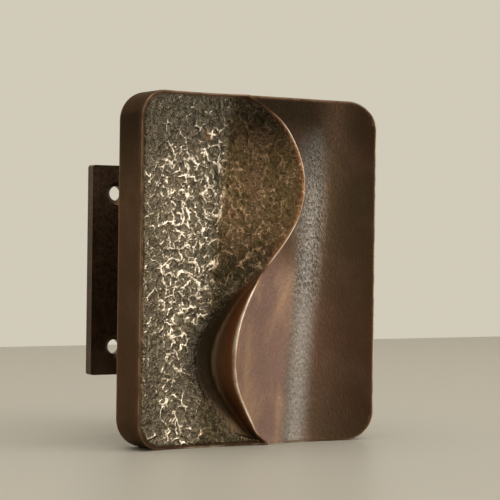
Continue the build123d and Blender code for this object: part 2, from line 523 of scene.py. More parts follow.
def relief(x, z):
    """The whole face: both fields, and the wall below the crest where one ends over the other.

    Gives the depth behind the rim, the distance past the crest towards the wall, the side that the crest
    leans to, the wall's height from 0 to 1, and how far the wall stands over the low field.
    """
    crest = crest_x(z)
    side = np.where(crest >= 0, 1.0, -1.0)
    past = (x - crest) * side
    lobe = field_recess(side * x, side * z)
    low = field_recess(-side * x, -side * z)
    cove = COVE_TOP + COVE_RISE * (np.maximum(past, 0) / crest_reach(z)) ** COVE_POWER
    cove += COVE_BACK_SLOPE * np.minimum(past, 0)
    step = smooth_step(np.abs(crest) / FULL_WALL_REACH)
    walled = smooth_max(lobe, cove, LEAST_CREST_ROUNDING + CREST_ROUNDING * step)
    low_field = low + LOW_FIELD_DROP * np.maximum(-past, 0)
    depth = smooth_min(walled, low_field, LEAST_FOOT_ROUNDING + FOOT_ROUNDING * step)
    return Relief(depth, past, side, step, low - walled)


def before_wall(x, z):
    """Distance to the left of the foot of the lower lobe's wall."""
    return crest_x(z) - WALL_WIDTH * crest_reach(z) - x


def texture_mask(x, z):
    """1 in the crinkled field, falling to 0 at its margin, at the crest and before the lower lobe's wall."""
    crest = crest_x(z)
    is_lower = smooth_step(0.5 - crest / HALVES_BLEND)
    inward = (crest - x) * (1 - is_lower) + before_wall(x, z) * is_lower
    clear = CLEAR_STRIP * is_lower * ramp(-z, *CLEAR_STRIP_START)
    fade = TEXTURE_FADE + LOWER_TEXTURE_FADE * is_lower
    at_boundary = smooth_step((inward - TEXTURE_GAP - clear) / fade)
    return at_boundary * ramp(edge_distance(x, z), *CRINKLE_MARGIN)


def edge_distance(x, z):
    """Distance in from the panel's outline."""
    qx = np.abs(x) - (HALF_WIDTH - PANEL_CORNER)
    qz = np.abs(z) - (HALF_HEIGHT - PANEL_CORNER)
    outside = np.hypot(np.maximum(qx, 0), np.maximum(qz, 0)) + np.minimum(np.maximum(qx, qz), 0)
    return PANEL_CORNER - outside


PAINT_LAYERS = ("texture", "ridge", "raised", "wear", "stain", "proud", "waxed", "lobe", "foot", "groove")


class Shell:
    """Growing mesh: its points, faces and the painted values at each point."""

    def __init__(self):
        self.points = []
        self.faces = []
        self.paint = []

    def add(self, points, **paint):
        """Adds points, rows of x, y, z, and returns their numbers."""
        first = len(self.points)
        count = len(points)
        self.points.extend(map(tuple, points))
        layers = [np.broadcast_to(paint.get(name, 0.0), (count,)) for name in PAINT_LAYERS]
        self.paint.extend(zip(*layers))
        return list(range(first, first + count))

    def join(self, a, b):
        """Fills the strip between two chains, which are pairs of point and key, in step with the keys."""
        i = j = 0
        while i < len(a) - 1 or j < len(b) - 1:
            along_a = j == len(b) - 1 or (i < len(a) - 1 and a[i + 1][1] <= b[j + 1][1])
            if along_a:
                self.faces.append((a[i][0], a[i + 1][0], b[j][0]))
                i += 1
            else:
                self.faces.append((a[i][0], b[j + 1][0], b[j][0]))
                j += 1

    def ring(self, a, b):
        """Joins two closed rings that have the same number of points."""
        n = len(a)
        for i in range(n):
            k = (i + 1) % n
            self.faces.append((a[i], a[k], b[k], b[i]))


def outline_lengths(half_width, half_height, corner):
    """Lengths of the eight stretches of a rounded rectangle, from its top side on, clockwise."""
    top, side, arc = 2 * (half_width - corner), 2 * (half_height - corner), math.pi / 2 * corner
    return [top, arc, side, arc, top, arc, side, arc]


def outline_point(t, half_width, half_height, corner):
    """Point of a rounded rectangle at t, which is the stretch's number plus the part of it done."""
    w, h = half_width - corner, half_height - corner
    corners = [(w, h), (w, -h), (-w, -h), (-w, h)]
    stretch, part = int(t) % 8, t % 1
    quarter = stretch // 2
    cx, cz = corners[quarter]
    turn = math.pi / 2 * (1 - quarter)
    if stretch % 2:
        angle = turn - part * math.pi / 2
        return cx + corner * math.cos(angle), cz + corner * math.sin(angle)
    px, pz = corners[quarter - 1]
    nx, nz = math.cos(turn) * corner, math.sin(turn) * corner
    return px + (cx - px) * part + nx, pz + (cz - pz) * part + nz


def outline_ring(ts, half_width, half_height, corner):
    return np.array([outline_point(t, half_width, half_height, corner) for t in ts])


def length_to_t(lengths, s):
    """Turns a distance along the outline into t."""
    ends = np.cumsum(lengths)
    s = s % ends[-1]
    stretch = int(np.searchsorted(ends, s, side="right"))
    return stretch + (s - (ends[stretch] - lengths[stretch])) / lengths[stretch]


INSET_WIDTH = HALF_WIDTH - FRONT_ARRIS
INSET_HEIGHT = HALF_HEIGHT - FRONT_ARRIS
INSET_CORNER = PANEL_CORNER - FRONT_ARRIS
INSET_LENGTHS = outline_lengths(INSET_WIDTH, INSET_HEIGHT, INSET_CORNER)


def half_extent(z):
    """Half the face's width at height z."""
    over = max(abs(z) - (INSET_HEIGHT - INSET_CORNER), 0.0)
    return INSET_WIDTH - INSET_CORNER + math.sqrt(max(INSET_CORNER ** 2 - over ** 2, 0.0))


def face_points(x, z):
    """Points of the front face with their paint."""
    face = relief(x, z)
    texture = texture_mask(x, z)
    height, ridge = crinkle(x, z)
    uneven = LOBE_EDGE_WAVE * gradient_noise(x / LOBE_EDGE_SIZE, z / LOBE_EDGE_SIZE, LOBE_EDGE_SEED)
    on_lobe = ramp(x - VALLEY_X - VALLEY_SLANT * z + uneven, *LOBE_EDGE)
    y = RIM + face.depth - CRINKLE_HEIGHT * texture * (1 - LOBE_CALM * on_lobe) * height
    y = y - BLOB_HEIGHT * blob(x, z)
    foot, groove = painted_foot_light_and_shadow(z, face)
    past_valley = beyond_valley(x, z)
    paint = {
        "texture": texture,
        # Ridge lines, dimmed by painted shade
        "ridge": ridge * ridge_shade(x, z, on_lobe, groove),
        "raised": height,
        "wear": rubbed_wear(x, z, face),
        "stain": rusty_stain(x, z, face, ridge),
        "proud": proud_part(x, z, past_valley),
        "waxed": wax_and_sheen_part(x, z, past_valley, texture),
        "lobe": on_lobe,
        "foot": foot,
        "groove": groove,
    }
    return np.column_stack([x, y, z + RISE]), paint


def painted_foot_light_and_shadow(z, face):
    """Painted highlight along the foot of the lower lobe's wall, and the lobe's painted shadow outside it.
    """
    below_lobe = face.step * (face.side < 0) * (face.past > 0)
    # Painted highlight along the wall's foot
    strength = FOOT_HIGHLIGHT_LEAST + (1 - FOOT_HIGHLIGHT_LEAST) * bell(z, *FOOT_HIGHLIGHT_ALONG)
    foot = below_lobe * bell(face.over, *FOOT_HIGHLIGHT_ACROSS) * strength
    # Painted shadow of the lower lobe, outside the foot line
    groove = below_lobe * ramp(face.over, *LOBE_SHADOW_DEPTH) * (face.over < LOBE_SHADOW_EDGE)
    return foot, groove


def ridge_shade(x, z, on_lobe, groove):
    """Painted shade on the ridges: the share of their brightness left near the field's ends, by the wall in
    the lobe's painted shadow, and on the lobe.
    """
    bright = (1 - TOP_DULLING * ramp(z, *TOP_DULL)) * (1 - LEFT_DULLING * ramp(-x, *LEFT_DULL))
    bright = bright * (1 - BOTTOM_DULLING * ramp(-z, *BOTTOM_DULL))
    by_wall = bell(before_wall(x, z), 0.0, WALL_DULL_WIDTH)
    by_wall = by_wall * ramp(-z, *WALL_DULL_TOP) * ramp(z, *WALL_DULL_BOTTOM)
    bright = bright * (1 - WALL_DULLING * groove) * (1 - WALL_DULLING * by_wall)
    return bright * (1 - on_lobe * LOBE_DULLING * (1 + ramp(-z, *LOBE_DULL)))


def rubbed_wear(x, z, face):
    """Bronze rubbed bright on the crests and the arris, dimmed by painted shade near the top, and a painted
    highlight on the star-shaped blob.
    """
    down_wall, on_lobe = LOWER_CREST_WEAR
    middle, width = UPPER_CREST_WEAR
    at_lower = face.past / np.where(face.past > 0, down_wall, on_lobe)
    across = np.where(face.side < 0, at_lower, (face.past - middle) / width)
    wear = (LOW_WALL_WEAR + (1 - LOW_WALL_WEAR) * face.step) * np.exp(-across ** 2)
    # Painted shade dims the crests' wear near the top edge
    wear = wear * (1 - TOP_WEAR_SHADE * ramp(z, *TOP_SHADED_WEAR))
    wear += edge_wear(x, z) * bell(edge_distance(x, z), 0.0, EDGE_WEAR_WIDTH)
    # Painted highlight on the star-shaped blob
    return wear + ramp(blob(x, z), *BLOB_HIGHLIGHT)


def rusty_stain(x, z, face, ridge):
    """Orange stain beside the crests and at the left of the star-shaped blob."""
    lower = np.where(face.past > 0, *LOWER_STAIN)
    upper = np.where(face.past > 0, *UPPER_STAIN)
    width = np.where(face.side < 0, lower, upper)
    stain = face.step * np.exp(-np.abs(face.past) / width) * (1 - TOP_STAIN_LOSS * ramp(z, *TOP_STAIN))
    from_spot = np.hypot(x - BLOB_STAIN[0], z - BLOB_STAIN[1])
    return stain + BLOB_STAIN_STRENGTH * np.exp(-from_spot / BLOB_STAIN_SIZE) * (1 - ridge)


def beyond_valley(x, z):
    """Distance from each field's valley line towards its lobe."""
    turn = np.where(x < crest_x(z), 1.0, -1.0)
    return turn * x - VALLEY_X - VALLEY_SLANT * z * turn


def proud_part(x, z, past_valley):
    """1 on the proud parts of both lobes."""
    up_lobe = np.where(x < crest_x(z), ramp(z, *UPPER_PROUD), ramp(-z, *LOWER_PROUD))
    return ramp(past_valley, *PROUD_START) * up_lobe * (1 - ramp(z, *PROUD_TOP))


def wax_and_sheen_part(x, z, past_valley, texture):
    """Where wax has gathered, with a painted sheen: the run of the crinkled field, and a band along the
    smooth field's valley.
    """
    crinkled = CRINKLED_WAX * texture * (1 - ramp(past_valley, *CRINKLED_WAX_END))
    top = ramp(z, *WAX_TOP)
    starts = ramp(past_valley - WAX_START_SHIFT * top, *WAX_START)
    end_width = WAX_END_WIDTH + WAX_END_WIDENING * ramp(z, *WAX_WIDENS)
    ends = smooth_step((past_valley - WAX_END) / end_width)
    smooth = (starts * (1 - ends)) ** WAX_PEAK * (1 - WAX_TOP_LOSS * top) * (1 - ramp(z, *WAX_FADES))
    return np.where(x < crest_x(z), crinkled, smooth)


def edge_wear(x, z):
    """How far the arris is rubbed bright: most on the right and on two stretches of the bottom."""
    right = ramp(x, *RIGHT_EDGE)
    below_lobe = ramp(x, *BELOW_LOBE) * ramp(-x, *BELOW_LOBE_END)
    lower_left = ramp(-x, *LOWER_LEFT) * ramp(x, *LOWER_LEFT_END)
    at_bottom = ramp(-z, *BOTTOM_EDGE) * (BELOW_LOBE_WEAR * below_lobe + LOWER_LEFT_WEAR * lower_left)
    return np.clip(EDGE_WEAR + RIGHT_EDGE_WEAR * right + at_bottom, 0.0, 1.0)


def crest_offsets(crest):
    """Places across the crest and down the cove, as distances past the crest."""
    start = CREST_POINTS[-1]
    length = WALL_POINTS_REACH * max(abs(crest), COVE_LEAST_REACH) + WALL_POINTS_SPARE
    parts = [(k / WALL_POINTS) ** WALL_POINTS_GROWTH for k in range(1, WALL_POINTS + 1)]
    return np.array(CREST_POINTS + [start + length * part for part in parts])


def face_row(z):
    """x of the points in one row of the face, as three parts: textured side, crest and wall, smooth side."""
    extent = half_extent(z)
    crest = float(crest_x(z))
    slant = float(crest_x(z + 0.5) - crest_x(z - 0.5))
    side = 1.0 if crest >= 0 else -1.0
    features = np.sort(crest + side * crest_offsets(crest) * math.hypot(1, slant))
    first = math.ceil(-extent / TEXTURE_STEP) * TEXTURE_STEP
    left = np.arange(first, features[0] - TEXTURE_STEP * 0.5, TEXTURE_STEP)
    left = left[left > -extent + TEXTURE_STEP * 0.4]
    right = np.arange(math.ceil(features[-1] / SMOOTH_STEP + 0.5) * SMOOTH_STEP, extent, SMOOTH_STEP)
    right = right[right < extent - SMOOTH_STEP * 0.4]
    return np.concatenate([[-extent], left]), features, np.concatenate([right, [extent]])


def arc_between(z_outer, z_inner):
    """Points of the corner's arc strictly between the ends of two rows, going inwards to z_inner."""
    limit = INSET_HEIGHT - INSET_CORNER
    if max(abs(z_outer), abs(z_inner)) <= limit:
        return []
    angles = [math.asin(min(max(abs(z) - limit, 0.0) / INSET_CORNER, 1.0)) for z in (z_outer, z_inner)]
    pieces = int(abs(angles[0] - angles[1]) * INSET_CORNER / CORNER_STEP)
    found = []
    for k in range(1, pieces + 1):
        angle = angles[0] + (angles[1] - angles[0]) * k / (pieces + 1)
        x = INSET_WIDTH - INSET_CORNER + INSET_CORNER * math.cos(angle)
        found.append((x, math.copysign(limit + INSET_CORNER * math.sin(angle), z_outer)))
    return found


def add_chain(shell, x, z):
    """Adds points of the face, and returns them as a chain, each point's number with its x."""
    if not len(x):
        return []
    points, paint = face_points(x, z)
    return list(zip(shell.add(points, **paint), x))


def build_face(shell):
    """Adds the front face in rows and returns its outline, clockwise from the top left."""
    count = round(2 * INSET_HEIGHT / ROW_STEP)
    heights = np.linspace(INSET_HEIGHT, -INSET_HEIGHT, count + 1)
    rows = []
    for z in heights:
        left, middle, right = face_row(z)
        x = np.concatenate([left, middle, right])
        chain = add_chain(shell, x, np.full_like(x, z))
        crest_start, crest_end = len(left), len(left) + len(middle)
        rows.append((chain, chain[:crest_start + 1], chain[crest_start:crest_end], chain[crest_end - 1:]))
    left_side, right_side = [], []
    for i in range(count):
        a_left, a_crest, a_right = rows[i][1:]
        b, b_left, b_crest, b_right = rows[i + 1]
        outer, inner = sorted((heights[i], heights[i + 1]), key=abs, reverse=True)
        arc = arc_between(outer, inner)
        xs, zs = np.array([p[0] for p in arc]), np.array([p[1] for p in arc])
        left_arc, right_arc = add_chain(shell, -xs, zs), add_chain(shell, xs, zs)
        if heights[i] > 0:
            a_left, a_right = left_arc[::-1] + a_left, a_right + right_arc
            left_side += left_arc
            right_side += right_arc
        else:
            b_left, b_right = left_arc[::-1] + b_left, b_right + right_arc
            left_side += left_arc[::-1]
            right_side += right_arc[::-1]
        left_side.append(b[0])
        right_side.append(b[-1])
        if (crest_x(heights[i]) >= 0) == (crest_x(heights[i + 1]) >= 0):
            a_crest, b_crest = numbered(a_crest), numbered(b_crest)
        shell.join(a_left, b_left)
        shell.join(a_crest, b_crest)
        shell.join(a_right, b_right)
    outline = rows[0][0] + right_side + rows[-1][0][::-1][1:] + left_side[::-1][1:]
    return [point for point, x in outline]


def numbered(chain):
    """The chain with its points' order as keys, which pairs it one to one with another."""
    return [(point, k) for k, (point, x) in enumerate(chain)]


def ring_places():
    """Values of t for the rings round the panel, closer together where the S meets the edge."""
    total = sum(INSET_LENGTHS)
    corner_x = INSET_WIDTH - INSET_CORNER
    at_top = corner_x + float(crest_x(INSET_HEIGHT))
    at_bottom = sum(INSET_LENGTHS[:4]) + corner_x - float(crest_x(-INSET_HEIGHT))
    places, s = [], 0.0
    while s < total - OUTLINE_STEP * 0.5:
        places.append(s)
        close = min(abs(s - at_top), abs(s - at_bottom))
        s += CREST_OUTLINE_STEP if close < CREST_OUTLINE_REACH else OUTLINE_STEP
    return np.array([length_to_t(INSET_LENGTHS, s) for s in places]), np.array(places)


def closed_chain(ring, keys):
    """A ring's points with their keys, ending at the first point again."""
    return list(zip([*ring, ring[0]], keys))


def build_sides(shell, loop):
    """Adds the arrises and sides behind the face's outline, and returns the ring at the back."""
    ts, places = ring_places()
    inset = outline_ring(ts, INSET_WIDTH, INSET_HEIGHT, INSET_CORNER)
    outer = outline_ring(ts, HALF_WIDTH, HALF_HEIGHT, PANEL_CORNER)
    outward = (outer - inset) / FRONT_ARRIS
    depth = RIM + relief(inset[:, 0], inset[:, 1]).depth

    points = np.array(shell.points)[loop][:, [0, 2]]
    steps = np.hypot(*(np.roll(points, -1, axis=0) - points).T)
    along = np.concatenate([[0], np.cumsum(steps)])
    along *= sum(INSET_LENGTHS) / along[-1]

    rings = []
    rubbed = edge_wear(outer[:, 0], outer[:, 1])
    for k, wear in enumerate(ARRIS_WEAR, 1):
        angle = math.pi / 2 * k / len(ARRIS_WEAR)
        place = inset + outward * FRONT_ARRIS * math.sin(angle)
        rings.append((place, depth + FRONT_ARRIS * (1 - math.cos(angle)), rubbed * wear))
    side_start = depth + FRONT_ARRIS
    side_end = PANEL_BACK - BACK_ARRIS
    for part, wear in SIDE_RINGS:
        rings.append((outer, side_start + (side_end - side_start) * part, wear))
    for k, wear in enumerate(BACK_ARRIS_WEAR, 1):
        angle = math.pi / 2 * k / len(BACK_ARRIS_WEAR)
        place = outer - outward * BACK_ARRIS * (1 - math.cos(angle))
        rings.append((place, np.full(len(ts), side_end + BACK_ARRIS * math.sin(angle)), wear))

    ids = []
    for place, y, wear in rings:
        ids.append(shell.add(np.column_stack([place[:, 0], y, place[:, 1] + RISE]), wear=wear))
    shell.join(closed_chain(loop, along), closed_chain(ids[0], [*places, sum(INSET_LENGTHS)]))
    for a, b in zip(ids, ids[1:]):
        shell.ring(a, b)
    return ids[-1], places


def even_places(counts):
    """Values of t with the same count of steps on matching stretches of any rounded rectangle."""
    found = []
    for stretch in range(8):
        steps = counts[stretch % 4]
        found += [stretch + k / steps for k in range(steps)]
    return found


def neck_ring(ts, grow):
    """The neck's outline, grown outwards."""
    return outline_ring(ts, NECK_HALF_WIDTH + grow, NECK_HALF_HEIGHT + grow, NECK_CORNER + grow)


def build_back(shell, back_ring, places):
    """Adds the panel's back, the neck and its flare, and the neck's end with four screw holes."""
    ts = even_places(STRETCH_STEPS)
    inset = BACK_ARRIS + BACK_MARGIN
    panel = outline_ring(ts, HALF_WIDTH - inset, HALF_HEIGHT - inset, PANEL_CORNER - inset)
    panel[:, 1] += RISE
    root = neck_ring(ts, NECK_FLARE)

    rings = []
    for k in range(BACK_RINGS + 1):
        place = panel + (root - panel) * k / BACK_RINGS
        calm = BACK_UNEVEN * math.sin(math.pi * k / BACK_RINGS)
        x, z = place[:, 0] / BACK_UNEVEN_SIZE + BACK_UNEVEN_START, place[:, 1] / BACK_UNEVEN_SIZE
        rings.append((place, PANEL_BACK - calm + calm * gradient_noise(x, z, BACK_SEED)))
    for k in range(1, FLARE_RINGS + 1):
        angle = math.pi / 2 * k / FLARE_RINGS
        place = neck_ring(ts, NECK_FLARE * (1 - math.sin(angle)))
        rings.append((place, np.full(len(ts), PANEL_BACK + NECK_FLARE * (1 - math.cos(angle)))))
    start = PANEL_BACK + NECK_FLARE
    for part in NECK_RINGS:
        rings.append((neck_ring(ts, 0.0), np.full(len(ts), start + (NECK_END - start) * part)))

    ids = [shell.add(np.column_stack([place[:, 0], y, place[:, 1]])) for place, y in rings]
    lengths = np.array([0, *np.cumsum(INSET_LENGTHS)])
    keys = [lengths[int(t)] + (t % 1) * INSET_LENGTHS[int(t)] for t in ts]
    total = sum(INSET_LENGTHS)
    shell.join(closed_chain(back_ring, [*places, total]), closed_chain(ids[0], [*keys, total]))
    for a, b in zip(ids, ids[1:]):
        shell.ring(a, b)
    close_neck(shell, ids[-1])


def close_neck(shell, rim):
    """Adds the neck's flat end and the four blind holes in it."""
    angles = np.arange(HOLE_STEPS) * math.tau / HOLE_STEPS
    circle = [(SCREW_RADIUS * math.cos(a), SCREW_RADIUS * math.sin(a)) for a in angles]
    centres = [(sx * SCREW_SPACING_X / 2, sz * SCREW_SPACING_Z / 2) for sx in (-1, 1) for sz in (-1, 1)]
    loops = [rim]
    for cx, cz in centres:
        mouth = shell.add([(cx + px, NECK_END, cz + pz) for px, pz in circle])
        floor = shell.add([(cx + px, HOLE_BOTTOM, cz + pz) for px, pz in circle])
        middle = shell.add([(cx, HOLE_BOTTOM, cz)])[0]
        shell.ring(mouth, floor)
        for k in range(len(floor)):
            shell.faces.append((floor[k], floor[(k + 1) % len(floor)], middle))
        loops.append(mouth)
    ids = [i for loop in loops for i in loop]
    flat = [Vector((shell.points[i][0], shell.points[i][2])) for i in ids]
    edges, first = [], 0
    for loop in loops:
        edges += [(first + k, first + (k + 1) % len(loop)) for k in range(len(loop))]
        first += len(loop)
    triangles = delaunay_2d_cdt(flat, edges, [], 1, MERGE_DISTANCE)[2]
    hole = SCREW_RADIUS * HOLE_INSIDE
    for triangle in triangles:
        middle = sum((flat[k] for k in triangle), Vector((0, 0))) / 3
        if all(math.hypot(middle.x - cx, middle.y - cz) > hole for cx, cz in centres):
            shell.faces.append(tuple(ids[k] for k in triangle))


def make_grip():
    """The casting as one closed mesh, in place of its solid."""
    shell = Shell()
    loop = build_face(shell)
    back_ring, places = build_sides(shell, loop)
    build_back(shell, back_ring, places)

    mesh = bpy.data.meshes.new("grip_cast")
    mesh.from_pydata([tuple(c * MM for c in p) for p in shell.points], [], shell.faces)
    paint = np.array(shell.paint, dtype=np.float32)
    for k, name in enumerate(PAINT_LAYERS):
        layer = mesh.attributes.new(name, "FLOAT", "POINT")
        layer.data.foreach_set("value", np.clip(paint[:, k], 0.0, 1.0))
    mesh.polygons.foreach_set("use_smooth", [True] * len(mesh.polygons))
    mesh.update()
    turn_outward(mesh)
    grip = bpy.data.objects.new("grip_cast", mesh)
    bpy.context.scene.collection.objects.link(grip)
    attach(grip, "root")
    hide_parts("grip")
    return grip


def turn_outward(mesh):
    """Makes all faces look outwards."""
    work = bmesh.new()
    work.from_mesh(mesh)
    bmesh.ops.recalc_face_normals(work, faces=work.faces)
    work.to_mesh(mesh)
    work.free()


class Nodes:
    """Short hand for building a material's nodes."""

    def __init__(self, name):
        self.material = bpy.data.materials.new(name)
        self.material.use_nodes = True
        self.tree = self.material.node_tree
        self.shader = self.tree.nodes["Principled BSDF"]
        self.place = self.new("ShaderNodeTexCoord").outputs["Object"]

    def new(self, kind, **values):
        node = self.tree.nodes.new(kind)
        for key, value in values.items():
            setattr(node, key, value)
        return node

    def link(self, value, socket):
        if isinstance(value, bpy.types.NodeSocket):
            self.tree.links.new(value, socket)
        else:
            socket.default_value = value

    def feed(self, name, value):
        """Sets or links one of the shader's inputs."""
        self.link(value, self.shader.inputs[name])

    def painted(self, name):
        return self.new("ShaderNodeAttribute", attribute_name=name).outputs["Fac"]

    def noise(self, scale, detail=4.0, roughness=0.55, stretch=(1, 1, 1), distortion=0.0):
        """Noise with features of about 1/scale metres."""
        moved = self.new("ShaderNodeMapping")
        self.link(self.place, moved.inputs["Vector"])
        moved.inputs["Scale"].default_value = stretch
        node = self.new("ShaderNodeTexNoise")
        self.link(moved.outputs["Vector"], node.inputs["Vector"])
        values = {"Scale": scale, "Detail": detail, "Roughness": roughness, "Distortion": distortion}
        for key, value in values.items():
            node.inputs[key].default_value = value
        return node.outputs["Fac"]

    def math(self, kind, a, b=0.0, clamp=False):
        node = self.new("ShaderNodeMath", operation=kind, use_clamp=clamp)
        self.link(a, node.inputs[0])
        self.link(b, node.inputs[1])
        return node.outputs[0]

    def times(self, a, b, clamp=False):
        return self.math("MULTIPLY", a, b, clamp)

    def plus(self, a, b):
        return self.math("ADD", a, b)

    def rest_of(self, value, clamp=False):
        """1 less the value."""
        return self.math("SUBTRACT", 1.0, value, clamp)

    def band(self, value, low, high, out_low=0.0, out_high=1.0):
        """Smooth change from out_low to out_high as value goes from low to high."""
        node = self.new("ShaderNodeMapRange", interpolation_type="SMOOTHSTEP")
        self.link(value, node.inputs["Value"])
        for socket, number in zip(node.inputs[1:5], (low, high, out_low, out_high)):
            self.link(number, socket)
        return node.outputs["Result"]

    def mix(self, part, a, b):
        """Colour a where part is 0, and b where it is 1."""
        node = self.new("ShaderNodeMix", data_type="RGBA")
        self.link(part, node.inputs["Factor"])
        for name, value in (("A", a), ("B", b)):
            socket = [s for s in node.inputs if s.name == name and s.type == "RGBA"][0]
            self.link(value if isinstance(value, bpy.types.NodeSocket) else (*value, 1.0), socket)
        return [s for s in node.outputs if s.type == "RGBA"][0]

    def axis(self, name):
        node = self.new("ShaderNodeSeparateXYZ")
        self.link(self.place, node.inputs[0])
        return node.outputs[name]

    def bump(self, height, distance, strength=1.0, normal=None):
        node = self.new("ShaderNodeBump")
        self.link(height, node.inputs["Height"])
        node.inputs["Distance"].default_value = distance
        node.inputs["Strength"].default_value = strength
        if normal is not None:
            self.link(normal, node.inputs["Normal"])
        return node.outputs["Normal"]


def brown_patina(n, mottle):
    """Dark brown of the smooth field, the sides and the back."""
    base = n.mix(n.band(n.noise(18, detail=3), 0.35, 0.65), BROWN, OLIVE_BROWN)
    return n.mix(n.band(mottle, 0.45, 0.75), base, WARM_BROWN)


def crinkled_patina(n, mottle, crevice):
    """Olive brown of the crinkled field, nearly black in its lows."""
    field = n.mix(n.band(mottle, 0.35, 0.7), FIELD_DARK, FIELD_LIGHT)
    field = n.mix(n.times(n.painted("lobe"), 0.8), field, LOBE_FIELD)
    field = n.mix(n.band(n.painted("raised"), 0.12, 0.50, 0.85, 0.0), field, CREVICE_COLOUR)
    return n.mix(n.band(crevice, 0.38, 0.55, 0.7, 0.0), field, CREVICE_COLOUR)


def rubbed_lobes(n, base, texture, mottle, crevice):
    """The patina rubbed thin on both lobes."""
    proud = n.painted("proud")
    blotch = n.noise(38, detail=5, roughness=0.55, stretch=(1.6, 1, 0.7), distortion=0.6)
    rubbed = n.mix(n.band(blotch, 0.42, 0.68), RUBBED_ROSE, RUBBED_GOLD)
    base = n.mix(n.times(proud, n.rest_of(texture)), base, rubbed)
    sheen = n.times(n.times(proud, texture), n.band(crevice, 0.36, 0.60, 0.3, 0.85))
    return n.mix(sheen, base, n.mix(n.band(mottle, 0.4, 0.6), LOBE_OLIVE, LOBE_RUST))


def squiggles(n):
    """Fine wavy lines, in patches."""
    wavy = n.noise(430, detail=2, roughness=0.5, distortion=0.8)
    lines = n.band(n.math("ABSOLUTE", n.math("SUBTRACT", wavy, 0.5)), 0.0, 0.06, 1.0, 0.0)
    return n.times(lines, n.band(n.noise(110, detail=2), 0.42, 0.6))


def bright_ridges(n, base, texture, squiggle):
    """The ridges' brown flanks and bright tops, and fine light marks between them."""
    ridge, lobe = n.painted("ridge"), n.painted("lobe")
    fleck = n.noise(420, detail=3, roughness=0.6)
    flank = n.times(texture, n.band(ridge, 0.18, 0.42))
    base = n.mix(n.times(flank, n.band(fleck, 0.35, 0.6, 0.1, 0.8)), base, RIDGE_FLANK)
    marks = n.times(n.times(squiggle, texture), n.band(lobe, 0.0, 1.0, 0.75, 0.3))
    base = n.mix(marks, base, LIGHT_MARK)
    top = n.times(texture, n.band(ridge, 0.25, 0.52))
    top_colour = n.mix(lobe, RIDGE_TOP, LOBE_RIDGE_TOP)
    return n.mix(n.times(top, n.band(fleck, 0.32, 0.55, 0.25, 1.0)), base, top_colour)


def sheen_on_wax(n, base, waxed, pores, coarse):
    """Painted grey sheen on the wax, with dark cracks, coarser and sharper towards the top."""
    least = n.band(coarse, 0.0, 1.0, 0.30, 0.1)
    most = n.band(coarse, 0.0, 1.0, 0.62, 0.9)
    base = n.mix(n.times(waxed, n.band(pores, 0.38, 0.62, least, most)), base, WAX_SHEEN_GREY)
    cracks = n.band(pores, 0.34, 0.47, n.band(coarse, 0.0, 1.0, 0.2, 0.65), 0.0)
    return n.mix(n.times(waxed, cracks), base, WAX_CRACK)


def painted_shade(n, base):
    """Painted shade towards the top, most in the middle and right and on the left side wall, less at the far
    right; also a little darker at the lower right.
    """
    x, z = n.axis("X"), n.axis("Z")
    darkness = n.plus(n.band(x, *DARKER_RIGHT, 0.42, 0.74), n.band(x, *LEFT_SIDE, 0.3, 0.0))
    darkness = n.math("SUBTRACT", darkness, n.band(x, *FAR_RIGHT, 0.0, 0.40))
    # Painted shade towards the top
    base = n.mix(n.times(n.band(z, *DARK_TOP), darkness), base, SHADE_BLACK)
    # A little darker at the lower right
    return n.mix(n.times(n.band(z, *LOW_END, 0.18, 0.0), n.band(x, *LOW_RIGHT)), base, SHADE_BLACK)


